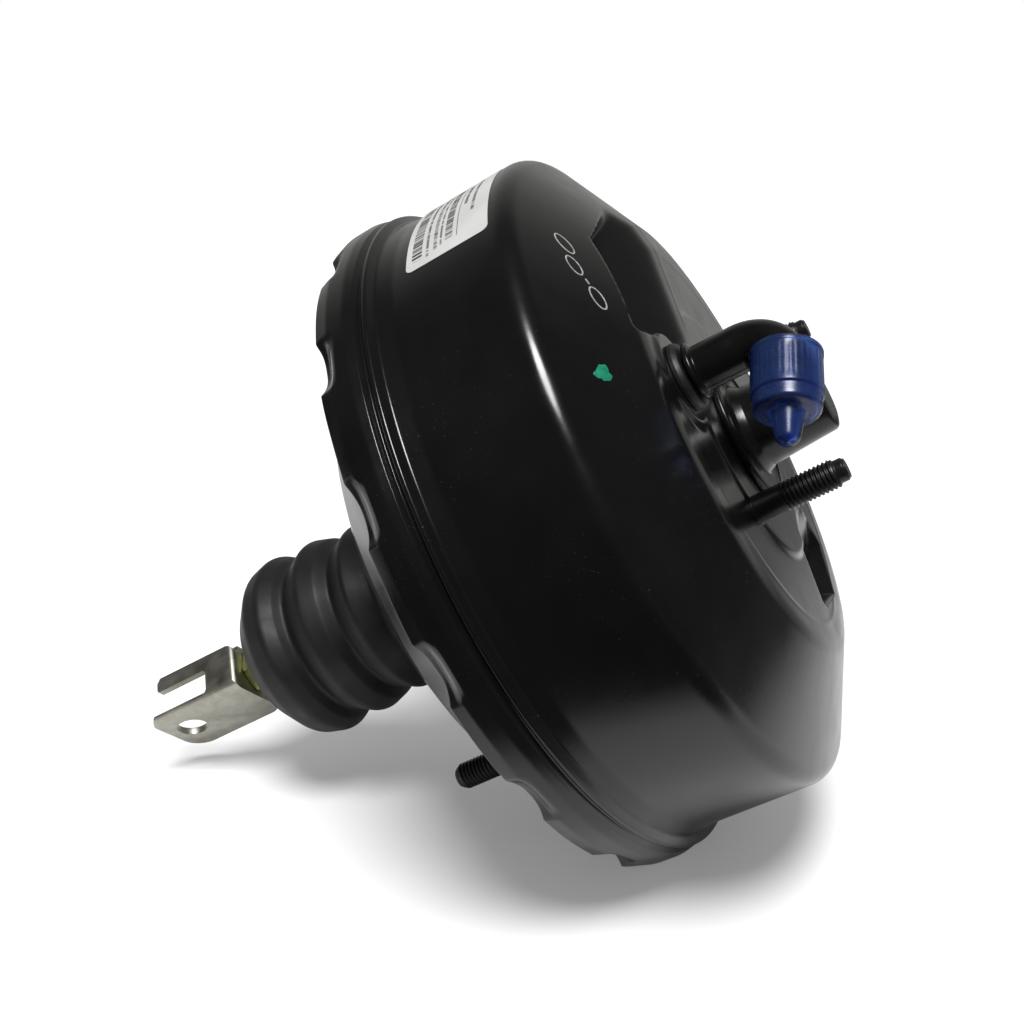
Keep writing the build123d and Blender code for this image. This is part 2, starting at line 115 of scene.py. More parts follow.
def new_object(name, verts, faces, mat, sharp=35.0, clean=False):
    me = bpy.data.meshes.new(name)
    me.from_pydata([tuple(v) for v in verts], [], faces)
    me.validate()
    if clean:
        bm = bmesh.new()
        bm.from_mesh(me)
        bmesh.ops.remove_doubles(bm, verts=bm.verts, dist=1e-7)
        bmesh.ops.recalc_face_normals(bm, faces=bm.faces)
        bm.to_mesh(me)
        bm.free()
    me.shade_smooth()
    me.set_sharp_from_angle(angle=math.radians(sharp))
    o = bpy.data.objects.new(name, me)
    bpy.context.scene.collection.objects.link(o)
    if mat is not None:
        me.materials.append(mat)
    return o


def grid_object(name, P, mat, wrap_u=True, wrap_v=False, sharp=35.0):
    """P[u, v] are points in mm; quads between neighbours, doubled points merged."""
    nu, nv = P.shape[:2]
    idx = np.arange(nu * nv).reshape(nu, nv)
    if wrap_u:
        idx = np.vstack([idx, idx[:1]])
    if wrap_v:
        idx = np.hstack([idx, idx[:, :1]])
    a, b, c, d = idx[:-1, :-1], idx[1:, :-1], idx[1:, 1:], idx[:-1, 1:]
    faces = np.stack([a, b, c, d], -1).reshape(-1, 4)
    return new_object(name, P.reshape(-1, 3) * MM, faces.tolist(), mat, sharp, clean=True)


def place(profile, seg, origin=(0, 0, 0), axis=(1, 0, 0), radial=None):
    """Turns an (s, r) line about an axis. radial(theta array, s, r) may change r."""
    ax = np.array(axis, float)
    ax /= np.linalg.norm(ax)
    ref = np.array([0, 0, 1.0]) if abs(ax[2]) < 0.9 else np.array([0, 1.0, 0])
    e1 = np.cross(ref, ax)
    e1 /= np.linalg.norm(e1)
    e2 = np.cross(ax, e1)
    th = np.linspace(0, 2 * math.pi, seg, endpoint=False)
    s, r = profile[:, 0][None, :], profile[:, 1][None, :]
    rr = np.repeat(r, seg, 0)
    if radial is not None:
        rr = radial(th[:, None], s, rr)
    P = np.array(origin, float) + s[..., None] * ax + (rr * np.cos(th)[:, None])[..., None] * e1 + (rr * np.sin(th)[:, None])[..., None] * e2
    return P


def lathe(name, pts, mat, seg=96, origin=(0, 0, 0), axis=(1, 0, 0), arc=8, step=None, radial=None, sharp=35.0, closed=True):
    prof = fillet_line(pts, arc, closed)
    if step:
        prof = dense(prof, step, closed)
    return grid_object(name, place(prof, seg, origin, axis, radial), mat, True, closed, sharp)


def smoothstep(a, b, x):
    t = np.clip((x - a) / (b - a), 0, 1)
    return t * t * (3 - 2 * t)


def poly_sdf(y, z, poly):
    """Signed distance to a polygon, negative inside."""
    poly = np.array(poly, float)
    d = np.full(y.shape, 1e9)
    inside = np.zeros(y.shape, bool)
    n = len(poly)
    for i in range(n):
        ax, ay = poly[i]
        bx, by = poly[(i + 1) % n]
        ex, ey = bx - ax, by - ay
        t = np.clip(((y - ax) * ex + (z - ay) * ey) / (ex * ex + ey * ey), 0, 1)
        d = np.minimum(d, np.hypot(y - ax - t * ex, z - ay - t * ey))
        cross = ((ay > z) != (by > z)) & (y < (bx - ax) * (z - ay) / (by - ay + 1e-12) + ax)
        inside ^= cross
    return np.where(inside, -d, d)


# ============================================================ materials
def nodes_of(name):
    m = bpy.data.materials.new(name)
    m.use_nodes = True
    nt = m.node_tree
    b = nt.nodes["Principled BSDF"]
    tc = nt.nodes.new("ShaderNodeTexCoord")
    return m, nt, b, tc


def noise(nt, tc, scale, detail=3.0, rough=0.5, stretch=None):
    src = tc.outputs["Object"]
    if stretch is not None:
        mp = nt.nodes.new("ShaderNodeMapping")
        mp.inputs["Scale"].default_value = stretch
        nt.links.new(src, mp.inputs["Vector"])
        src = mp.outputs["Vector"]
    n = nt.nodes.new("ShaderNodeTexNoise")
    n.inputs["Scale"].default_value = scale
    n.inputs["Detail"].default_value = detail
    n.inputs["Roughness"].default_value = rough
    nt.links.new(src, n.inputs["Vector"])
    return n.outputs["Fac"]


def ramp(nt, fac, stops, colour=True):
    r = nt.nodes.new("ShaderNodeValToRGB")
    el = r.color_ramp.elements
    while len(el) < len(stops):
        el.new(0.5)
    for e, (p, c) in zip(el, stops):
        e.position = p
        e.color = (*c, 1) if colour else (c, c, c, 1)
    nt.links.new(fac, r.inputs["Fac"])
    return r.outputs["Color"]


def spread(nt, fac, lo, hi, a=0.3, b=0.7):
    r = nt.nodes.new("ShaderNodeMapRange")
    r.inputs["From Min"].default_value = a
    r.inputs["From Max"].default_value = b
    r.inputs["To Min"].default_value = lo
    r.inputs["To Max"].default_value = hi
    nt.links.new(fac, r.inputs["Value"])
    return r.outputs["Result"]


def bump(nt, b, fac, dist, strength=1.0, before=None):
    n = nt.nodes.new("ShaderNodeBump")
    n.inputs["Distance"].default_value = dist
    n.inputs["Strength"].default_value = strength
    nt.links.new(fac, n.inputs["Height"])
    if before is not None:
        nt.links.new(before, n.inputs["Normal"])
    nt.links.new(n.outputs["Normal"], b.inputs["Normal"])
    return n.outputs["Normal"]


def mix(nt, fac, a, c):
    m = nt.nodes.new("ShaderNodeMix")
    m.data_type = "RGBA"
    nt.links.new(fac, m.inputs[0])
    for s, v in ((m.inputs[6], a), (m.inputs[7], c)):
        if isinstance(v, tuple):
            s.default_value = (*v, 1)
        else:
            nt.links.new(v, s)
    return m.outputs[2]


def plain(name, c1, c2, rough, scale, metallic=0.0, bump_scale=None, bump_dist=0.0, ior=None, **sockets):
    """Two-tone noise colour, varied roughness and a fine bump."""
    m, nt, b, tc = nodes_of(name)
    f = noise(nt, tc, scale, 4)
    nt.links.new(ramp(nt, f, [(0.3, c1), (0.7, c2)]), b.inputs["Base Color"])
    nt.links.new(spread(nt, noise(nt, tc, scale * 2.3, 3), *rough), b.inputs["Roughness"])
    b.inputs["Metallic"].default_value = metallic
    if ior:
        b.inputs["IOR"].default_value = ior
    for k, v in sockets.items():
        b.inputs[k.replace("_", " ")].default_value = v
    if bump_scale:
        bump(nt, b, noise(nt, tc, bump_scale, 4), bump_dist)
    return m


def paint_material():
    m, nt, b, tc = nodes_of("black_enamel")
    soft = noise(nt, tc, 45, 3)
    base = ramp(nt, soft, [(0.3, (0.0042, 0.0042, 0.0046)), (0.7, (0.0062, 0.0062, 0.0064))])
    dust = noise(nt, tc, 1900, 1.0)
    patch = noise(nt, tc, 24, 2)
    dustm = ramp(nt, dust, [(0.765, 0.0), (0.79, 1.0)], colour=False)
    patchm = ramp(nt, patch, [(0.45, 0.0), (0.62, 1.0)], colour=False)
    mul = nt.nodes.new("ShaderNodeMath")
    mul.operation = "MULTIPLY"
    nt.links.new(dustm, mul.inputs[0])
    nt.links.new(patchm, mul.inputs[1])
    col = mix(nt, mul.outputs[0], base, (0.12, 0.12, 0.115))
    nt.links.new(col, b.inputs["Base Color"])
    nt.links.new(spread(nt, noise(nt, tc, 70, 4), 0.17, 0.25), b.inputs["Roughness"])
    first = bump(nt, b, noise(nt, tc, 420, 2), 0.00003, 0.5)
    bump(nt, b, noise(nt, tc, 2600, 2), 0.000006, 0.6, before=first)
    b.inputs["IOR"].default_value = 1.5
    return m


def boot_material():
    m, nt, b, tc = nodes_of("boot_rubber_satin")
    f = noise(nt, tc, 55, 5)
    nt.links.new(ramp(nt, f, [(0.3, (0.0042, 0.0042, 0.0044)), (0.6, (0.0065, 0.0065, 0.0065)), (0.78, (0.016, 0.016, 0.0155))]), b.inputs["Base Color"])
    nt.links.new(spread(nt, noise(nt, tc, 90, 4), 0.46, 0.66), b.inputs["Roughness"])
    first = bump(nt, b, noise(nt, tc, 300, 3), 0.00006, 0.5)
    bump(nt, b, noise(nt, tc, 2200, 2), 0.00002, 0.5, before=first)
    b.inputs["IOR"].default_value = 1.42
    return m


def zinc_material(name, c1, c2, rough):
    m, nt, b, tc = nodes_of(name)
    f = noise(nt, tc, 260, 5, 0.6)
    nt.links.new(ramp(nt, f, [(0.3, c1), (0.7, c2)]), b.inputs["Base Color"])
    nt.links.new(spread(nt, noise(nt, tc, 180, 4), *rough), b.inputs["Roughness"])
    b.inputs["Metallic"].default_value = 1.0
    first = bump(nt, b, noise(nt, tc, 900, 3, 0.6), 0.00004, 0.5)
    bump(nt, b, noise(nt, tc, 500, 2, 0.5, (1, 9, 1)), 0.00002, 0.35, before=first)
    return m


M_PAINT = paint_material()
M_BOOT = boot_material()
M_CLEVIS = zinc_material("clevis_zinc", (0.36, 0.35, 0.30), (0.47, 0.46, 0.40), (0.34, 0.48))
M_NUT = zinc_material("yellow_zinc", (0.26, 0.27, 0.07), (0.46, 0.47, 0.20), (0.28, 0.44))
M_ROD = zinc_material("rod_zinc", (0.42, 0.41, 0.33), (0.60, 0.59, 0.50), (0.28, 0.42))
M_STUD = plain("stud_phosphate", (0.005, 0.005, 0.0053), (0.011, 0.011, 0.011), (0.28, 0.42), 220, metallic=0.0, bump_scale=1500, bump_dist=0.00002, ior=1.44)
M_PLASTIC = plain("black_nylon", (0.0030, 0.0030, 0.0034), (0.0052, 0.0052, 0.0054), (0.20, 0.30), 120, bump_scale=1400, bump_dist=0.00001, ior=1.42)
M_GROMMET = plain("grommet_rubber", (0.004, 0.004, 0.004), (0.008, 0.008, 0.0078), (0.4, 0.55), 150, bump_scale=1100, bump_dist=0.00003)
M_LABEL = plain("label_film_white", (0.50, 0.50, 0.495), (0.56, 0.56, 0.555), (0.40, 0.5), 60, bump_scale=700, bump_dist=0.00001)
M_INK = plain("label_ink", (0.018, 0.018, 0.018), (0.035, 0.035, 0.035), (0.4, 0.5), 300, bump_scale=900, bump_dist=0.00001)
M_CHALK = plain("marker_white", (0.16, 0.16, 0.155), (0.40, 0.40, 0.39), (0.5, 0.65), 900, bump_scale=1800, bump_dist=0.00003)
M_GREEN = plain("marker_green", (0.004, 0.13, 0.075), (0.012, 0.26, 0.15), (0.3, 0.42), 500, bump_scale=900, bump_dist=0.00006)
M_STEEL = zinc_material("inner_steel", (0.38, 0.38, 0.38), (0.56, 0.56, 0.55), (0.32, 0.45))
M_SPRING = zinc_material("spring_steel", (0.16, 0.16, 0.17), (0.28, 0.28, 0.29), (0.32, 0.45))
M_SEAL = plain("inner_rubber", (0.012, 0.012, 0.012), (0.02, 0.02, 0.02), (0.5, 0.65), 120, bump_scale=900, bump_dist=0.00003)
M_HUB = plain("phenolic", (0.028, 0.020, 0.015), (0.05, 0.036, 0.028), (0.42, 0.55), 160, bump_scale=1200, bump_dist=0.00003)
M_BEARING = plain("bearing_plastic", (0.62, 0.60, 0.53), (0.72, 0.70, 0.63), (0.4, 0.5), 100, bump_scale=900, bump_dist=0.00002)
M_FELT = plain("open_felt", (0.22, 0.21, 0.20), (0.36, 0.35, 0.33), (0.85, 0.95), 700, bump_scale=1600, bump_dist=0.0002)


def blue_material():
    m, nt, b, tc = nodes_of("blue_translucent")
    f = noise(nt, tc, 90, 3)
    nt.links.new(ramp(nt, f, [(0.3, (0.060, 0.130, 0.52)), (0.7, (0.100, 0.215, 0.62))]), b.inputs["Base Color"])
    nt.links.new(spread(nt, noise(nt, tc, 140, 3), 0.20, 0.32), b.inputs["Roughness"])
    b.inputs["Transmission Weight"].default_value = 0.90
    b.inputs["IOR"].default_value = 1.46
    bump(nt, b, noise(nt, tc, 500, 2), 0.00002, 0.5)
    return m


M_BLUE = blue_material()

INNER = {
    "front_reinforcement": M_STEEL, "rear_reinforcement": M_STEEL, "seal_plate": M_STEEL, "rod_seal": M_SEAL, "check_valve_disc": M_SEAL,
    "check_valve_spring": M_SPRING, "hub_bearing": M_BEARING, "hub_seal": M_SEAL, "seal_retainer": M_STEEL, "valve_body": M_HUB,
    "stop_key": M_STEEL, "diaphragm_plate": M_STEEL, "diaphragm": M_SEAL, "reaction_disc": M_SEAL, "output_rod": M_ROD, "rod_adjuster": M_ROD,
    "rod_retainer": M_STEEL, "main_spring": M_SPRING, "valve_plunger": M_ROD, "poppet_valve": M_SEAL, "poppet_spring": M_SPRING,
    "poppet_retainer": M_STEEL, "rod_spring": M_SPRING, "spring_cup": M_STEEL, "silencer": M_FELT, "air_filter": M_FELT,
}
for node, mat in INNER.items():
    o = frame["nodes"][node]
    o.data.materials.clear()
    o.data.materials.append(mat)

# ============================================================ front shell
SHEET, FACE_X = 1.8, 124.5
VY, VZ = -34.1, 46.9
POCKET = [(-38, 72), (-6, 43), (14, 40), (56, 62), (48, 82), (-5, 90)]
POCKET_LOW = [(-30, 58), (-8, 44), (8, 43), (20, 50), (14, 66), (-10, 70)]


def front_press(x, y, z, drop):
    """Pressed pockets with sloping floors and the low step around the centre, as a lower x."""
    s_top = poly_sdf(y, z, POCKET)
    s_bot = poly_sdf(y, -z, POCKET_LOW)
    s = np.minimum(s_top, s_bot) - 1.2
    seat = 17.0 - np.hypot(y - VY, z - VZ)
    s = np.maximum(s, seat)
    w = 1 - smoothstep(-4.4, 1.4, s)
    floor_x = 114.5 - drop + 0.28 * y - 0.38 * (np.abs(z) - 68.0)
    gap = x - floor_x
    gap = 0.5 * (gap + np.sqrt(gap * gap + 1.6))
    gap = np.where(gap < 0.12, 0, gap)
    x = x - gap * w
    r = np.hypot(y, z)
    near = smoothstep(45.5, 48.5, r) * (1 - smoothstep(70, 80, r)) * smoothstep(14.5, 19, np.hypot(y - VY, z - VZ))
    return x - 1.1 * near * (1 - w)


NOTCH = 137.6


def notch_mask(deg, soft):
    d = (deg - NOTCH + 12) % 24 - 12
    return np.clip(1 - (np.abs(d) / 4.9) ** 2.4, 0, 1)


def build_front_shell():
    outer = fillet_line([(33.5, 122.9), (33.5, 124.6, 0.5), (38.5, 126.0, 4.0), (45.0, 126.0, 5.0), (48.1, 125.1, 0.5), (49.5, 123.1, 0.4), (50.3, 123.2, 0.4),
                         (51.2, 124.5, 0.7), (52.5, 124.5, 0.9), (54.1, 121.3, 1.3), (60.0, 120.0, 6.0), (102.5, 120.0, 7.5), (122.5, 82.5, 8.0),
                         (124.5, 72.0, 4.0), (124.5, 28.0), (124.2, 28.0), (124.2, 21.0)], 9, closed=False)
    inner = fillet_line([(122.7, 21.0), (122.7, 71.8, 2.2), (120.8, 81.9, 6.2), (101.4, 118.2, 5.7), (57.0, 118.2, 2.0), (53.4, 119.6, 1.0),
                         (48.9, 121.3, 0.5), (47.5, 124.2, 0.4), (38.6, 124.2, 3.0), (33.6, 122.8)], 5, closed=False)
    prof = np.vstack([dense(outer, 0.7), dense(inner, 2.0)])
    n_out = len(dense(outer, 0.7))
    seg = 720
    th = np.linspace(0, 360, seg, endpoint=False)
    X = np.repeat(prof[None, :, 0], seg, 0)
    Rr = np.repeat(prof[None, :, 1], seg, 0)
    T = np.repeat(th[:, None], len(prof), 1)
    # notched rear edge of the skirt, with the metal of each notch pressed inward
    m = notch_mask(T, 1.1)
    wob = 0.25 * np.sin(np.radians(T) * 31) + 0.2 * np.sin(np.radians(T) * 53 + 1.0)
    lim = 33.5 + m * (1.3 + wob * 0.5)
    rear = X < 44.0
    X = np.where(rear, 44.0 - (44.0 - X) * (44.0 - lim) / (44.0 - 33.5), X)
    t = np.clip((41.0 - X) / 4.2, 0, 1)
    Rr = Rr - m * np.where(rear, 3.0 * t ** 1.3, 0)
    # slightly uneven lugs
    lugs = (1 - m) * np.where(rear, np.clip((40.0 - X) / 6.5, 0, 1) ** 2, 0)
    Rr = Rr + lugs * (0.35 * np.sin(np.radians(T) * 7.0 + 0.6) + 0.2 * np.sin(np.radians(T) * 19.0))
    Y, Z = Rr * np.cos(np.radians(T)), Rr * np.sin(np.radians(T))
    front = X > 108
    is_out = (np.arange(len(prof)) < n_out)[None, :]
    Xo = front_press(X, Y, Z, 0.0)
    Xi = front_press(X, Y, Z, SHEET)
    X = np.where(front, np.where(is_out, Xo, Xi), X)
    P = np.stack([X, Y, Z], -1)
    o = grid_object("front_shell_skin", P, M_PAINT, True, True, 40)
    return o


def surface_x(y, z):
    """Front face of the shell at y, z."""
    line = fillet_line([(60.0, 120.0), (102.5, 120.0, 7.5), (122.5, 82.5, 8.0), (124.5, 72.0, 4.0), (124.5, 0.0)], 12, closed=False)
    line = dense(line, 0.5)
    r = np.hypot(y, z)
    order = np.argsort(line[:, 1], kind="stable")
    x = np.interp(r, line[order, 1], line[order, 0])
    return front_press(x, y, z, 0.0)


shell = build_front_shell()
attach(shell, "shell")
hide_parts("front_shell")

# ============================================================ rear shell
RY, RZ = 72 * math.cos(math.radians(45)), 72 * math.sin(math.radians(45))


def build_rear_shell():
    outer = fillet_line([(-19.2, 24.0), (-21.0, 24.0), (-21.0, 29.0, 1.2), (0.0, 29.0, 1.0), (0.0, 60.0, 4.0), (1.3, 68.0, 9.0), (11.4, 86.0, 10.0),
                         (39.0, 118.6, 2.0), (39.0, 124.1)], 8, closed=False)
    inner = fillet_line([(40.8, 124.1), (40.8, 117.9), (12.8, 84.9, 8.2), (3.0, 67.2, 7.2), (1.8, 59.4, 2.2), (1.8, 27.2), (-19.2, 27.2)], 4, closed=False)
    a, b = dense(outer, 1.2), dense(inner, 3.0)
    prof = np.vstack([a, b])
    seg = 480
    th = np.linspace(0, 2 * math.pi, seg, endpoint=False)[:, None]
    X = np.repeat(prof[None, :, 0], seg, 0)
    Rr = np.repeat(prof[None, :, 1], seg, 0)
    Y, Z = Rr * np.cos(th), Rr * np.sin(th)
    ca, sa = math.cos(math.radians(45)), math.sin(math.radians(45))
    along, across = Y * ca + Z * sa, -Y * sa + Z * ca
    d = np.hypot(np.maximum(np.abs(along) - 72.0, 0), across)
    w = 1 - smoothstep(11.5, 16.0, d)
    is_out = (np.arange(len(prof)) < len(a))[None, :]
    floor_x = np.where(is_out, 0.0, SHEET)
    sel = (X > floor_x) & (Rr > 56) & (X < 30)
    X = np.where(sel, X + (floor_x - X) * w, X)
    return grid_object("rear_shell_skin", np.stack([X, Y, Z], -1), M_PAINT, True, True, 40)


rear = build_rear_shell()
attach(rear, "shell")
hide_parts("rear_shell")


# ============================================================ threaded pieces
def threaded(name, x0, x1, thread, r, pitch, y, z, mat, blank=None, dog=None, seg=72, depth=0.62):
    """A rod along X from x0 to x1; thread = (a, b) is its threaded span; blank = radius elsewhere."""
    lo, hi = min(x0, x1), max(x0, x1)
    xs = np.arange(lo, hi + 1e-6, pitch / 10.0)
    xs = np.unique(np.concatenate([xs, [lo, hi]]))
    th = np.linspace(0, 2 * math.pi, seg, endpoint=False)
    T, X = np.meshgrid(th, xs, indexing="ij")
    ph = (X / pitch - T / (2 * math.pi)) % 1.0
    tri = np.abs(ph * 2 - 1)                      # 1 at root, 0 at crest
    cut = depth * np.clip((tri - 0.12) / 0.76, 0, 1)
    a, b = thread
    inside = smoothstep(a - pitch * 0.3, a + pitch * 0.7, X) * (1 - smoothstep(b - pitch * 0.7, b + pitch * 0.3, X))
    base = np.full(X.shape, r if blank is None else blank)
    R_ = base + (r - cut - base) * inside
    if dog is not None:
        d0, d1, dr = dog                              # plain end between d0 and d1 of radius dr
        w = smoothstep(min(d0, d1) - 0.5, min(d0, d1) + 0.3, X) * (1 - smoothstep(max(d0, d1) - 0.3, max(d0, d1) + 0.5, X))
        R_ = R_ * (1 - w) + np.minimum(R_, dr) * w
    # small end chamfers
    R_ = np.minimum(R_, 4.4 + (X - lo) * 1.0 if dog is None else R_)
    end = np.minimum(X - lo, hi - X)
    R_ = np.minimum(R_, R_ - 0.9 + np.minimum(end, 0.9))
    P = np.stack([X, y + R_ * np.cos(T), z + R_ * np.sin(T)], -1)
    cap0 = np.repeat(np.array([[[lo, y, z]]]), seg, 0)
    cap1 = np.repeat(np.array([[[hi, y, z]]]), seg, 0)
    P = np.concatenate([cap0, P, cap1], 1)
    return grid_object(name, P, mat, True, False, 50)


FY, FZ = 45 * math.cos(math.radians(3.2)), 45 * math.sin(math.radians(3.2))
for nm, sg in (("front_stud_left", 1), ("front_stud_right", -1)):
    s = threaded(nm + "_body", 119.4, 156.0, (134.0, 152.2), 4.95, 1.5, sg * FY, sg * FZ, M_STUD, blank=4.75, dog=(152.4, 156.0, 3.9))
    h = lathe(nm + "_collar", [(119.4, 3.0), (119.4, 8.6, 0.4), (116.6, 8.6, 0.6), (116.6, 3.0)], M_STUD, 48, (0, sg * FY, sg * FZ))
    seat = lathe(nm + "_neck", [(119.2, 4.0), (124.45, 4.0), (124.45, 5.4, 0.3), (119.2, 5.4)], M_STUD, 64, (0, sg * FY, sg * FZ))
    for o in (s, h, seat):
        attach(o, "shell")
    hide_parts(nm)
for nm, sg in (("rear_stud_upper", 1), ("rear_stud_lower", -1)):
    s = threaded(nm + "_body", -24.0, 6.0, (-21.6, -3.0), 4.95, 1.5, sg * RY, sg * RZ, M_STUD, blank=4.9, dog=(-24.0, -22.2, 4.1))
    h = lathe(nm + "_collar", [(4.5, 3.0), (4.5, 8.6, 0.4), (7.7, 8.6, 0.6), (7.7, 3.0)], M_STUD, 48, (0, sg * RY, sg * RZ))
    seat = lathe(nm + "_neck", [(4.8, 4.0), (4.8, 5.4), (0.05, 5.4, 0.3), (0.05, 4.0)], M_STUD, 64, (0, sg * RY, sg * RZ))
    for o in (s, h, seat):
        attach(o, "shell")
    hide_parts(nm)

# ============================================================ opening cap
cap = lathe("opening_cap_body", [(119.9, 19.1), (119.9, 20.8, 0.4), (124.25, 20.9, 0.2), (124.25, 26.6, 0.3), (125.0, 27.0, 0.4), (126.7, 26.9, 1.0), (127.2, 24.4, 0.5), (126.5, 23.4, 0.5),
                                 (126.8, 16.6, 1.5), (130.0, 14.9, 1.2), (144.0, 13.75), (155.0, 12.95, 2.0), (156.0, 9.5, 1.4), (155.5, 0.0), (154.4, 0.0), (154.4, 11.3, 1.0),
                                 (123.6, 11.5, 0.5), (125.4, 14.0, 0.6), (125.4, 19.1, 0.4)], M_PLASTIC, 128, arc=6)
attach(cap, "opening_plug")
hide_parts("opening_cap")

# ============================================================ check valve
grom = lathe("grommet_ring", [(119.2, 6.1), (127.6, 6.1), (127.6, 10.4, 1.0), (126.0, 11.4, 1.0), (124.6, 11.4, 0.2), (124.6, 9.0, 0.2), (122.6, 9.0, 0.2), (122.6, 11.2, 0.3), (121.0, 11.2, 0.8), (119.2, 8.6, 0.8)],
             M_GROMMET, 96, (0, VY, VZ))
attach(grom, "shell")
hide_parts("valve_grommet")

OUT = np.array([-0.28, -0.876, -0.398])
OUT /= np.linalg.norm(OUT)
JX, BEND = 160.3, 12.0
ang = math.acos(float(OUT[0]))
TL = BEND * math.tan(ang / 2)
A_END = JX - TL
J = np.array([JX, VY, VZ])
p0 = np.array([A_END, VY, VZ])
p1 = J + OUT * TL


def elbow_path():
    """Centre points, tangents and radii from the foot to the nozzle's tip."""
    pts, tan, rad = [], [], []
    foot = fillet_line([(116.3, 5.0), (117.4, 6.9, 0.4), (118.8, 6.9, 0.3), (118.9, 5.95), (128.5, 5.95), (128.5, 9.6, 0.5), (130.2, 9.6, 0.9), (130.8, 7.7, 0.5), (133.0, 7.7)], 5, closed=False)
    for x, r in foot:
        pts.append([x, VY, VZ]); tan.append([1, 0, 0]); rad.append(r)
    for x in np.linspace(133.4, A_END, 14):
        pts.append([x, VY, VZ]); tan.append([1, 0, 0]); rad.append(7.7)
    m = (np.array([-1.0, 0, 0]) + OUT)
    m /= np.linalg.norm(m)
    cen = J + m * (BEND / math.cos(ang / 2))
    u = p0 - cen
    w = np.cross(np.array([1.0, 0, 0]), OUT)
    w /= np.linalg.norm(w)
    for t in np.linspace(0, ang, 40)[1:]:
        rot = Matrix.Rotation(t, 3, Vector(w))
        pts.append(list(cen + np.array(rot @ Vector(u)))); tan.append(list(rot @ Vector((1, 0, 0)))); rad.append(7.7)
    noz = fillet_line([(0.2, 7.7), (1.5, 7.7, 0.4), (1.8, 5.2, 0.3), (7.6, 5.2, 0.2), (7.9, 6.1, 0.3), (12.6, 4.7, 0.5), (12.8, 3.6, 0.2)], 5, closed=False)
    for s, r in noz:
        pts.append(list(p1 + OUT * s)); tan.append(list(OUT)); rad.append(r)
    return np.array(pts), np.array(tan), np.array(rad), w


def tube(name, pts, tan, rad, side, mat, seg=72, close_start=True, inner_end=None, clip=None):
    th = np.linspace(0, 2 * math.pi, seg, endpoint=False)
    P = np.zeros((seg, len(pts), 3))
    for i, (c, t, r) in enumerate(zip(pts, tan, rad)):
        t = t / np.linalg.norm(t)
        e1 = side
        e2 = np.cross(t, e1)
        P[:, i] = c + r * (np.cos(th)[:, None] * e1 + np.sin(th)[:, None] * e2)
    if clip is not None:
        P = clip(P)
    cap0 = np.repeat(pts[0][None, None], seg, 0)
    P = np.concatenate([cap0, P], 1)
    if inner_end is not None:
        P = np.concatenate([P, np.repeat(inner_end[None, None], seg, 0)], 1)
    return grid_object(name, P, mat, True, False, 40)


pts, tan, rad, side = elbow_path()
bore_in = []
for s in (12.4, 6.0):
    pts = np.vstack([pts, p1 + OUT * s]); tan = np.vstack([tan, OUT]); rad = np.append(rad, 3.5)
CAP_O = p1 - OUT * 5.7


def relief(P):
    """Pushes the tube's inner corner back from under the outlet cap's rim."""
    s = (P - CAP_O) @ OUT
    rad_v = P - CAP_O - s[..., None] * OUT
    rr = np.linalg.norm(rad_v, axis=-1)
    hit = (s > -0.4) & (s < 9.0) & (rr > 9.3) & (rr < 12.0) & (P[..., 0] < 156.0)
    return P - np.where(hit, s + 0.4, 0)[..., None] * OUT


elbow = tube("elbow_body", pts, tan, rad, side, M_PLASTIC, inner_end=p1 + OUT * 6.0, clip=relief)
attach(elbow, "elbow")
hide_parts("check_valve_elbow")


def ribs(th, s, r):
    w = smoothstep(2.0, 3.4, s) * (1 - smoothstep(13.2, 14.8, s)) * (r > 10.9)
    return r - 0.10 * w * (0.5 + 0.5 * np.cos(th * 36))


ocap = lathe("outlet_cap_body",
             [(0.0, 9.7), (0.0, 11.2, 0.5), (1.6, 11.2, 0.2), (1.9, 11.0, 0.2), (15.7, 11.1, 0.5), (16.3, 10.5, 0.3), (20.9, 10.3, 1.4), (21.3, 5.4, 0.8), (30.4, 3.6, 1.8), (32.0, 1.6, 1.0), (32.2, 0.0),
              (30.6, 0.0), (29.2, 2.0, 0.8), (20.2, 3.5, 0.5), (19.9, 8.9, 0.8), (15.4, 9.0, 0.5), (14.6, 9.7, 0.5)],
             M_BLUE, 216, CAP_O, OUT, arc=6, step=1.0, radial=ribs)
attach(ocap, "outlet_plug")
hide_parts("outlet_cap")
grip = lathe("outlet_cap_grip", [(9.6, 6.3), (17.3, 6.3), (17.3, 9.2), (16.5, 9.2), (16.5, 7.2, 0.3), (9.6, 7.2)], M_BLUE, 72, CAP_O, OUT)
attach(grip, "outlet_plug")

# ============================================================ label with generic print
LR = 120.05


def wall_point(u, x, lift):
    """u = arc length in mm from the label's middle at 88 degrees, along increasing angle."""
    a = math.radians(88.0) + u / LR
    r = LR + lift
    return np.stack([x, r * np.cos(a), r * np.sin(a)], -1)


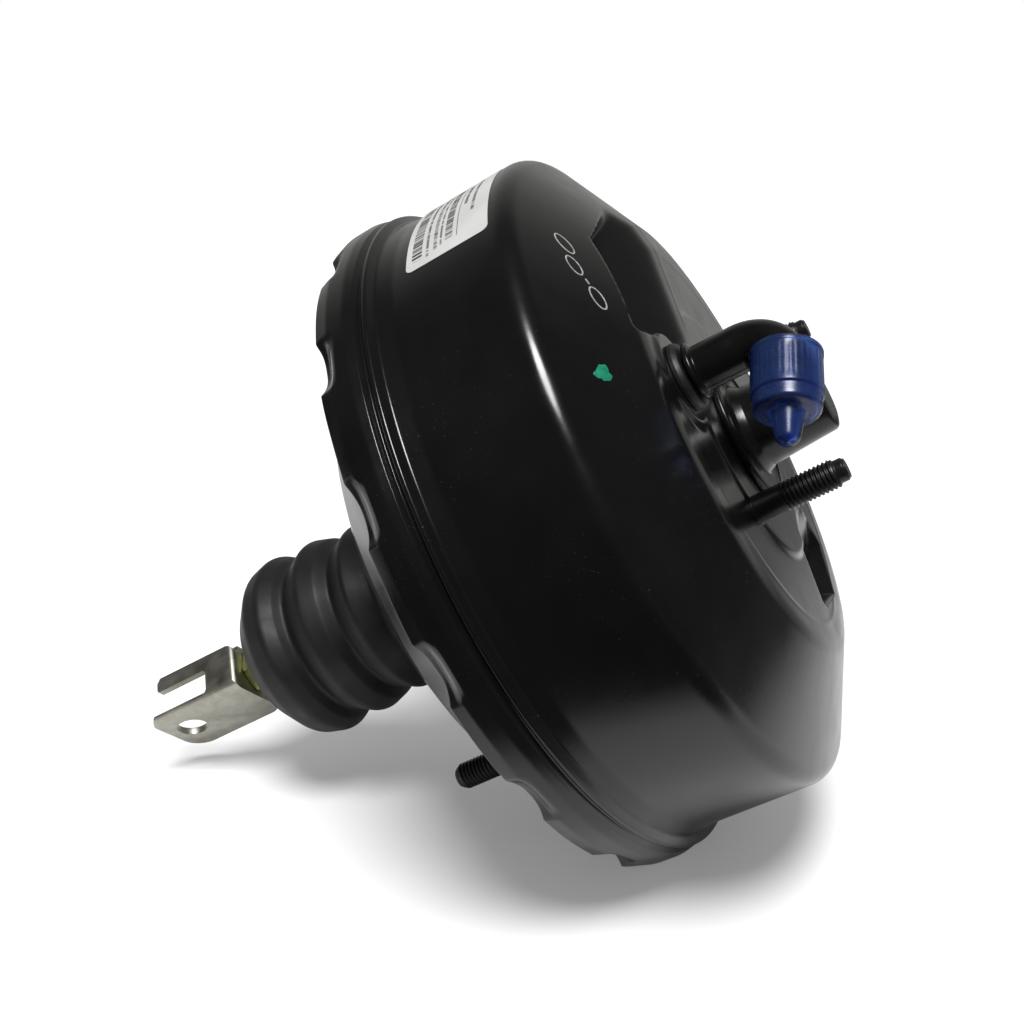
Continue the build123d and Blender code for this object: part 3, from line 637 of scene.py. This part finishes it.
def wall_patch(name, u0, u1, x0, x1, lift, thick, mat, corner=0.0, nu=2, nx=2):
    cx = np.linspace(x0, x1, nx)
    if corner:
        k = np.linspace(0, 1, 7)[1:]
        ends = x0 + corner * (1 - np.cos(k * math.pi / 2))
        cx = np.concatenate([[x0], ends, np.linspace(x0 + corner, x1 - corner, nx)[1:-1], (x0 + x1) - ends[::-1], [x1]])
    U, X = [], []
    for x in cx:
        dx = min(x - x0, x1 - x)
        cut = corner - math.sqrt(max(corner ** 2 - (corner - min(dx, corner)) ** 2, 0)) if corner else 0
        U.append(np.linspace(u0 + cut, u1 - cut, nu)); X.append(np.full(nu, x))
    U, X = np.array(U), np.array(X)
    top = wall_point(U, X, lift + thick)
    low = wall_point(U, X, lift)
    n, m = U.shape
    verts = np.concatenate([top.reshape(-1, 3), low.reshape(-1, 3)]) * MM
    idx = np.arange(n * m).reshape(n, m)
    faces = []
    for i in range(n - 1):
        for j in range(m - 1):
            a, b, c, d = idx[i, j], idx[i + 1, j], idx[i + 1, j + 1], idx[i, j + 1]
            faces.append([a, b, c, d])
            faces.append([d + n * m, c + n * m, b + n * m, a + n * m])
    rim = [idx[i, 0] for i in range(n)] + [idx[n - 1, j] for j in range(1, m)] + [idx[i, m - 1] for i in range(n - 2, -1, -1)] + [idx[0, j] for j in range(m - 2, 0, -1)]
    for a, b in zip(rim, rim[1:] + rim[:1]):
        faces.append([a, a + n * m, b + n * m, b])
    faces = [[int(v) for v in f] for f in faces]
    return new_object(name, verts, faces, mat, 30, clean=True)


W = LR * math.radians(28.0)
lab = wall_patch("label_film", -W / 2, W / 2 - 1.6, 65.4, 96.2, 0.02, 0.12, M_LABEL, 2.6, 60, 6)
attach(lab, "shell")
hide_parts("label")


def join(objs, name):
    bm = bmesh.new()
    for o in objs:
        bm.from_mesh(o.data)
    me = bpy.data.meshes.new(name)
    bm.to_mesh(me)
    bm.free()
    me.materials.append(objs[0].data.materials[0])
    for o in objs:
        bpy.data.objects.remove(o)
    o = bpy.data.objects.new(name, me)
    bpy.context.scene.collection.objects.link(o)
    return o


def print_blocks():
    out = []
    k = 0

    def block(u0, u1, x0, x1):
        nonlocal k
        out.append(wall_patch(f"ink{k}", u0, u1, x0, x1, 0.141, 0.02, M_INK, 0, max(2, int((u1 - u0) / 2) + 2), 2))
        k += 1

    def bars(x0, x1, u0, u1, unit):
        u = u0
        while u < u1:
            w = unit * rng.integers(1, 4)
            block(u, min(u + w, u1), x0, x1)
            u += w + unit * rng.integers(1, 4)

    def dashes(x0, x1, u0, u1):
        u = u0
        while u < u1:
            w = rng.uniform(0.5, 1.2)
            block(u, min(u + w, u1), x0, x1)
            u += w + (rng.uniform(0.35, 0.5) if rng.random() < 0.8 else 1.3)

    bars(67.6, 71.4, -W / 2 + 3, W / 2 - 6, 0.42)
    dashes(73.0, 74.0, -W / 2 + 8, W / 2 - 5)
    bars(75.8, 77.2, -W / 2 + 4, W / 2 - 7, 0.30)
    dashes(78.2, 79.0, -W / 2 + 4, W / 2 - 8)
    bars(80.2, 83.0, -W / 2 + 5, W / 2 - 9, 0.34)
    block(-W / 2 + 4, W / 2 - 8, 84.6, 84.85)
    dashes(86.2, 87.4, -W / 2 + 10, -W / 2 + 30)
    dashes(89.4, 90.6, -W / 2 + 6, W / 2 - 20)
    return join(out, "label_print")


ink = print_blocks()
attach(ink, "shell")


# ============================================================ hand marks and paint dot on the cone
def face_tube(name, ys, zs, r, mat, closed, lift=0.0):
    ys, zs = np.array(ys, float), np.array(zs, float)
    n = len(ys)
    c = np.stack([surface_x(ys, zs) + lift, ys, zs], -1)
    e = 0.3
    gx_y = (surface_x(ys + e, zs) - surface_x(ys - e, zs)) / (2 * e)
    gx_z = (surface_x(ys, zs + e) - surface_x(ys, zs - e)) / (2 * e)
    nrm = np.stack([np.ones(n), -gx_y, -gx_z], -1)
    nrm /= np.linalg.norm(nrm, axis=1)[:, None]
    nxt = np.roll(c, -1, 0) if closed else np.vstack([c[1:], 2 * c[-1:] - c[-2:-1]])
    prv = np.roll(c, 1, 0) if closed else np.vstack([2 * c[:1] - c[1:2], c[:-1]])
    t = nxt - prv
    t /= np.linalg.norm(t, axis=1)[:, None]
    b = np.cross(t, nrm)
    th = np.linspace(0, 2 * math.pi, 8, endpoint=False)
    P = c[:, None] + r * np.cos(th)[None, :, None] * b[:, None] + 0.22 * r * np.sin(th)[None, :, None] * nrm[:, None]
    if not closed:
        P = np.concatenate([np.repeat(c[:1, None], 8, 1), P, np.repeat(c[-1:, None], 8, 1)], 0)
    return grid_object(name, P, mat, closed, True, 60)


marks = []
for i, (cy, cz, ry, rz, tilt) in enumerate([(-18.8, 99.6, 4.4, 2.1, 40), (-28.0, 95.2, 3.9, 2.0, 38), (-37.5, 85.8, 4.2, 2.1, 42)]):
    a = np.linspace(0, 2 * math.pi, 40, endpoint=False)
    wob = 1 + 0.05 * np.sin(2 * a + i)
    u, v = ry * np.cos(a) * wob, rz * np.sin(a) * wob
    ct, st = math.cos(math.radians(tilt)), math.sin(math.radians(tilt))
    marks.append(face_tube(f"mark{i}", cy + u * ct - v * st, cz + u * st + v * ct, 0.30, M_CHALK, True, 0.03))
marks.append(face_tube("mark3", [-31.8, -32.6, -33.4], [91.0, 90.2, 89.4], 0.36, M_CHALK, False, 0.03))
marks = join(marks, "hand_marks")
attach(marks, "shell")


def paint_dot():
    cy, cz = -66.1, 76.1
    th = np.linspace(0, 2 * math.pi, 48, endpoint=False)
    rho = np.linspace(0, 1, 8)
    R0 = 2.6 * (1 + 0.16 * np.sin(3 * th + 0.5) + 0.08 * np.sin(5 * th + 2) + 0.05 * np.sin(9 * th))
    Y = cy + R0[:, None] * rho * np.cos(th)[:, None] * 1.1
    Z = cz + R0[:, None] * rho * np.sin(th)[:, None]
    h = 0.10 * (1 - rho ** 4)[None, :] + 0.01
    X = surface_x(Y, Z)
    top = np.stack([X + h, Y, Z], -1)
    low = np.stack([X - 0.05, Y, Z], -1)[:, ::-1]
    P = np.concatenate([top, low], 1)
    return grid_object("green_paint_dot", P, M_GREEN, True, False, 60)


dot = paint_dot()
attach(dot, "shell")

# ============================================================ dust boot
boot_out = [(-5.0, 31.0, 0.8), (-8.5, 31.0, 0.8), (-9.3, 30.3, 0.8), (-11.0, 30.3, 0.8), (-11.8, 31.2, 0.8), (-15.5, 31.2, 0.8), (-16.3, 30.4, 0.8), (-18.4, 30.6, 1.2), (-20.5, 31.6, 1.6), (-27.5, 34.3, 3.4), (-35.6, 30.2, 1.6),
            (-39.5, 33.8, 3.6), (-47.0, 36.2, 4.5), (-52.0, 33.6, 3.0), (-56.5, 30.6, 1.8), (-59.5, 34.2, 2.5), (-64.6, 37.2, 4.5), (-72.5, 35.2, 5.0), (-82.5, 25.0, 9.0), (-85.8, 12.0, 3.0), (-86.5, 8.4, 0.4), (-88.8, 8.2, 0.6)]
boot_in = [(-88.8, 5.05), (-84.9, 5.05, 0.4), (-83.9, 11.4, 2.2), (-80.6, 24.0, 7.5), (-72.0, 33.2, 3.6), (-64.7, 35.2, 3.0), (-60.3, 32.6, 1.5), (-56.5, 28.8, 1.0), (-51.4, 31.8, 1.6), (-47.0, 34.2, 3.0),
           (-40.3, 32.0, 2.0), (-35.6, 28.4, 1.2), (-27.5, 32.4, 2.0), (-21.3, 29.4, 0.6), (-21.2, 29.05), (-5.0, 29.05)]
boot = lathe("dust_boot_bellows", boot_out + boot_in, M_BOOT, 192, arc=10, step=2.0, sharp=60)
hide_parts("dust_boot")
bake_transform(boot)


# ============================================================ push rod, lock nut, clevis
rod = threaded("input_rod_body", -109.0, -30.0, (-108.0, -80.0), 4.95, 1.25, 0.0, 0.0, M_ROD, blank=4.9, seg=64, depth=0.55)
neck = lathe("input_rod_neck", [(-30.2, 0.0), (-30.2, 4.6), (-28.5, 3.6, 0.5), (-1.6, 3.6, 0.6), (-1.9, 3.6), (-0.9, 4.15, 1.0), (2.0, 5.05, 2.2), (5.4, 3.7, 2.4), (7.0, 0.0)], M_ROD, 64)
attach(rod, "push_rod")
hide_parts("input_rod")
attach(neck, "push_rod")


def hex_nut(name, x0, x1, flat, bore, mat, turn=0.0):
    xs = np.unique(np.concatenate([np.linspace(x0, x0 + 1.4, 6), np.linspace(x1 - 1.4, x1, 6)]))
    th = np.linspace(0, 2 * math.pi, 144, endpoint=False)
    T, X = np.meshgrid(th, xs, indexing="ij")
    sect = (T - turn) % (math.pi / 3) - math.pi / 6
    hexr = flat / np.cos(sect)
    cham = flat * 0.985 + np.minimum(X - x0, x1 - X) * 1.9
    R_ = np.minimum(hexr, cham)
    P = np.stack([X, R_ * np.cos(T), R_ * np.sin(T)], -1)
    inn = np.stack([X[:, ::-1], bore * np.cos(T), bore * np.sin(T)], -1)
    return grid_object(name, np.concatenate([P, inn], 1), mat, True, True, 28)


XB, XE, XF, XS = -95.2, -139.7, -134.8, -109.7
nut = hex_nut("lock_nut_body", XB + 0.08, XB + 5.68, 8.5, 4.98, M_NUT, 0.3)
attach(nut, "push_rod")
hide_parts("lock_nut")


def build_clevis():
    """Folded sheet: low plate with a round hole, near web with an open slot, upper lip, and a base."""
    T, LO, HI = 3.0, -11.5, 7.5
    QN, QF = -14.1, 15.5

    def prism_x(poly_qp, x0, x1):
        """polygon in (q, p), extruded along x."""
        n = len(poly_qp)
        v = [(x0, q, p) for q, p in poly_qp] + [(x1, q, p) for q, p in poly_qp]
        f = [list(range(n))[::-1], list(range(n, 2 * n))] + [[i, (i + 1) % n, (i + 1) % n + n, i + n] for i in range(n)]
        return v, f

    def prism_p(poly_xq, a, b):
        n = len(poly_xq)
        v = [(x, q, a) for x, q in poly_xq] + [(x, q, b) for x, q in poly_xq]
        f = [list(range(n))[::-1], list(range(n, 2 * n))] + [[i, (i + 1) % n, (i + 1) % n + n, i + n] for i in range(n)]
        return v, f

    def prism_q(poly_xp, a, b):
        n = len(poly_xp)
        v = [(x, a, p) for x, p in poly_xp] + [(x, b, p) for x, p in poly_xp]
        f = [list(range(n))[::-1], list(range(n, 2 * n))] + [[i, (i + 1) % n, (i + 1) % n + n, i + n] for i in range(n)]
        return v, f

    def solid(vf, name):
        v, f = vf
        me = bpy.data.meshes.new(name)
        me.from_pydata([tuple(c * MM for c in p) for p in v], [], f)
        bm = bmesh.new()
        bm.from_mesh(me)
        bmesh.ops.recalc_face_normals(bm, faces=bm.faces)
        bm.to_mesh(me)
        bm.free()
        o = bpy.data.objects.new(name, me)
        bpy.context.scene.collection.objects.link(o)
        return o

    def boolean(a, b, op):
        m = a.modifiers.new("b", "BOOLEAN")
        m.operation, m.object, m.solver = op, b, "EXACT"
        dg = bpy.context.evaluated_depsgraph_get()
        me = bpy.data.meshes.new_from_object(a.evaluated_get(dg))
        a.modifiers.clear()
        a.data = me
        bpy.data.objects.remove(b)

    # L section with a rounded outer fold: low plate and near web
    ro, ri = 4.2, 1.4

    def arc(cq, cp, r, a0, a1, k=6):
        return [(cq + r * math.cos(math.radians(a0 + (a1 - a0) * i / k)), cp + r * math.sin(math.radians(a0 + (a1 - a0) * i / k))) for i in range(k + 1)]

    sec = [(QF, LO)] + arc(QN + ro, LO + ro, ro, 270, 180) + [(QN, HI), (QN + T, HI)]
    sec += arc(QN + T + ri, LO + T + ri, ri, 180, 270) + [(QF, LO + T)]
    body = solid(prism_x(sec, XE, XB), "clevis_body")

    def corner(x, q, r, sx, sq):
        """Tool that rounds the corner at (x, q) whose material lies towards (sx, sq)."""
        cx, cq = x + sx * r, q + sq * r
        return [(x - sx * 3, q - sq * 3), (x - sx * 3, cq)] + [(cx - sx * r * math.cos(a), cq - sq * r * math.sin(a)) for a in np.linspace(0, math.pi / 2, 10)] + [(cx, q - sq * 3)]

    boolean(body, solid(prism_p(corner(XE, QF, 9.0, 1, -1), LO - 1, LO + T + 1.5), "t2"), "DIFFERENCE")
    boolean(body, solid(prism_p(corner(XE, QN, 4.0, 1, 1), LO - 1, LO + T + 1.2), "t3"), "DIFFERENCE")
    lo, hi = -8.5, 1.35
    cs = 1.0
    slot = [(XE - 6, lo), (XS - cs, lo), (XS, lo + cs), (XS, hi - cs), (XS - cs, hi), (XE - 6, hi)]
    boolean(body, solid(prism_q(slot, QN - 2, QN + T + 2.5), "t4"), "DIFFERENCE")
    # free end of the upper finger is chamfered, and the web's top corner at the base is rounded
    fing = [(XE - 4, HI + 3), (XE - 4, hi - 0.6), (XF + 0.9, hi - 0.6), (XF, hi + 1.0), (XF, HI - 2.0), (XF + 1.6, HI), (XF + 1.6, HI + 3)]
    boolean(body, solid(prism_q(fing, QN - 2, QN + 12), "t5"), "DIFFERENCE")
    fold = 2.4
    turn = [(QN + 0.2, LO + 3.4), (QN + 0.2, HI - 0.2), (QF, HI - 0.2), (QF, LO + 0.2), (QN + 3.4, LO + 0.2)]
    base = solid(prism_x(turn, XB - T, XB), "b1")
    boolean(body, base, "UNION")
    boolean(body, solid(prism_q(corner(XB, HI, 4.0, -1, -1), QN - 2, QN + T + 0.2), "t6"), "DIFFERENCE")
    boolean(body, solid(prism_p(corner(XB, QN, fold, -1, 1), LO - 1, HI + 1), "t7"), "DIFFERENCE")
    boolean(body, solid(prism_p(corner(XB, QF, 5.0, -1, -1), LO - 1, LO + T - 0.05), "t8"), "DIFFERENCE")
    # round hole and the rod's hole
    for centre, ax, rr, a, b in (((-129.3, 0.0), "p", 6.2, LO - 2, LO + T + 2), ((0.0, 0.0), "x", 5.2, XB - 6, XB + 6)):
        k = 48
        if ax == "p":
            poly = [(centre[0] + rr * math.cos(2 * math.pi * i / k), centre[1] + rr * math.sin(2 * math.pi * i / k)) for i in range(k)]
            boolean(body, solid(prism_p(poly, a, b), "h"), "DIFFERENCE")
        else:
            poly = [(rr * math.cos(2 * math.pi * i / k), rr * math.sin(2 * math.pi * i / k)) for i in range(k)]
            boolean(body, solid(prism_x(poly, a, b), "h"), "DIFFERENCE")
    bm = bmesh.new()
    bm.from_mesh(body.data)
    bmesh.ops.remove_doubles(bm, verts=bm.verts, dist=1e-6)
    bmesh.ops.dissolve_limit(bm, angle_limit=math.radians(1.0), verts=bm.verts, edges=bm.edges)
    bm.to_mesh(body.data)
    bm.free()
    m = body.modifiers.new("bevel", "BEVEL")
    m.width, m.segments, m.limit_method, m.angle_limit = 0.00045, 3, "ANGLE", math.radians(38)
    m.harden_normals = False
    dg = bpy.context.evaluated_depsgraph_get()
    me = bpy.data.meshes.new_from_object(body.evaluated_get(dg))
    body.modifiers.clear()
    body.data = me
    me.transform(Matrix.Rotation(math.radians(24.6 - 90.0), 4, "X"))
    me.shade_smooth()
    me.set_sharp_from_angle(angle=math.radians(30))
    me.materials.clear()
    me.materials.append(M_CLEVIS)
    return body


clevis = build_clevis()
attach(clevis, "clevis")
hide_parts("clevis")

# ============================================================ stage, light, camera
UP = Vector((0.494, 0.326, 0.806)).normalized()
dg = bpy.context.evaluated_depsgraph_get()
low = 1e9
for o in bpy.context.scene.objects:
    if o.type == "MESH" and not o.hide_render:
        for c in o.bound_box:
            pass
for o in (shell, rear, clevis, boot, nut):
    co = np.array([v.co for v in o.data.vertices], float)
    low = min(low, float((co @ np.array(UP)).min()))
me = bpy.data.meshes.new("floor")
S = 4.0
u = UP.cross(Vector((0, 0, 1))).normalized()
v = UP.cross(u).normalized()
c0 = UP * (low - 0.0005)
me.from_pydata([tuple(c0 + u * a * S + v * b * S) for a, b in ((-1, -1), (1, -1), (1, 1), (-1, 1))], [], [(0, 1, 2, 3)])
floor = bpy.data.objects.new("floor", me)
bpy.context.scene.collection.objects.link(floor)
if me.polygons[0].normal.dot(UP) < 0:
    me.flip_normals()
fm = bpy.data.materials.new("floor_pale")
fm.use_nodes = True
nt = fm.node_tree
b = nt.nodes["Principled BSDF"]
b.inputs["Roughness"].default_value = 0.9
b.inputs["Specular IOR Level"].default_value = 0.0
# painted glow: the floor emits faintly, seen only by camera rays, which lifts the cast shadow on it
b.inputs["Emission Strength"].default_value = 0.16
tc = nt.nodes.new("ShaderNodeTexCoord")
pale = ramp(nt, noise(nt, tc, 3.0, 2), [(0.2, (0.71, 0.71, 0.71)), (0.8, (0.74, 0.74, 0.74))])
# painted reflection: to all but camera rays the pale sheet goes dark a little way in front of the object and towards
# the far side, which darkens what the shell reflects there; the camera sees the floor pale throughout
FLAT = (Vector((-0.34272, 0.82708, -0.44552)) - UP * UP.dot(Vector((-0.34272, 0.82708, -0.44552)))).normalized()
edge = nt.nodes.new("ShaderNodeVectorMath")
edge.operation = "DOT_PRODUCT"
edge.inputs[1].default_value = tuple(FLAT)
nt.links.new(tc.outputs["Object"], edge.inputs[0])
side = nt.nodes.new("ShaderNodeVectorMath")
side.operation = "DOT_PRODUCT"
side.inputs[1].default_value = tuple(FLAT.cross(UP))
nt.links.new(tc.outputs["Object"], side.inputs[0])
near_edge = mix(nt, spread(nt, edge.outputs["Value"], 1.0, 0.0, -0.20, -0.165), pale, (0.02, 0.02, 0.02))
far_side = mix(nt, spread(nt, side.outputs["Value"], 0.0, 1.0, 0.32, 0.70), near_edge, (0.06, 0.06, 0.06))
seen = nt.nodes.new("ShaderNodeLightPath")
nt.links.new(mix(nt, seen.outputs["Is Camera Ray"], far_side, pale), b.inputs["Base Color"])
# emission colour is white for camera rays and black for all other rays, so only the camera sees the painted glow
nt.links.new(mix(nt, seen.outputs["Is Camera Ray"], (0.0, 0.0, 0.0), (1.0, 1.0, 1.0)), b.inputs["Emission Color"])
geo = nt.nodes.new("ShaderNodeNewGeometry")
tr = nt.nodes.new("ShaderNodeBsdfTransparent")
ms = nt.nodes.new("ShaderNodeMixShader")
nt.links.new(geo.outputs["Backfacing"], ms.inputs[0])
nt.links.new(b.outputs[0], ms.inputs[1])
nt.links.new(tr.outputs[0], ms.inputs[2])
nt.links.new(ms.outputs[0], nt.nodes["Material Output"].inputs["Surface"])
me.materials.append(fm)

CENTRE = Vector((0.02, 0, 0))


def area(name, direction, dist, size, power, size_y=None, spread_deg=180):
    l = bpy.data.lights.new(name, "AREA")
    l.energy = power
    l.shape = "RECTANGLE"
    l.size, l.size_y = size, size_y or size
    l.spread = math.radians(spread_deg)
    o = bpy.data.objects.new(name, l)
    d = Vector(direction).normalized()
    o.location = CENTRE + d * dist
    o.rotation_mode = "QUATERNION"
    o.rotation_quaternion = d.to_track_quat("Z", "Y")
    bpy.context.scene.collection.objects.link(o)
    return o


FWD = Vector((-0.34272, 0.82708, -0.44552))
sun = bpy.data.lights.new("softbox_top", "SUN")
sun.energy = 3.8
sun.angle = math.radians(24)
so = bpy.data.objects.new("softbox_top", sun)
so.rotation_mode = "QUATERNION"
so.rotation_quaternion = Vector((0.533, -0.156, 0.831)).to_track_quat("Z", "Y")
bpy.context.scene.collection.objects.link(so)

w = bpy.data.worlds.new("studio")
bpy.context.scene.world = w
w.use_nodes = True
nt = w.node_tree
bg = nt.nodes["Background"]
tc = nt.nodes.new("ShaderNodeTexCoord")
dot_n = nt.nodes.new("ShaderNodeVectorMath")
dot_n.operation = "DOT_PRODUCT"
dot_n.inputs[1].default_value = tuple(FWD)
nt.links.new(tc.outputs["Generated"], dot_n.inputs[0])
back = ramp(nt, dot_n.outputs["Value"], [(0.22, (0.04, 0.04, 0.04)), (0.42, (0.20, 0.20, 0.19)), (0.80, (0.48, 0.48, 0.46))])
lp = nt.nodes.new("ShaderNodeLightPath")
fill = mix(nt, lp.outputs["Is Diffuse Ray"], back, (0.42, 0.42, 0.42))
col = mix(nt, lp.outputs["Is Camera Ray"], fill, (1.0, 1.0, 1.0))
nt.links.new(col, bg.inputs["Color"])
bg.inputs["Strength"].default_value = 1.0

cam = bpy.data.cameras.new("camera")
cam.sensor_width, cam.lens = 36.0, 1400.0 / 1024.0 * 36.0
cam.clip_start, cam.clip_end = 0.02, 20
co = bpy.data.objects.new("camera", cam)
R_, U_, F_ = Vector((0.84085, 0.05857, -0.53809)), Vector((0.41894, 0.55903, 0.71552)), FWD
m = Matrix.Identity(4)
for i in range(3):
    m[i][0], m[i][1], m[i][2] = R_[i], U_[i], -F_[i]
m.translation = Vector((212.909, -426.437, 242.542)) * MM
co.matrix_world = m
bpy.context.scene.collection.objects.link(co)
bpy.context.scene.camera = co
bpy.context.scene.view_settings.view_transform = "Standard"
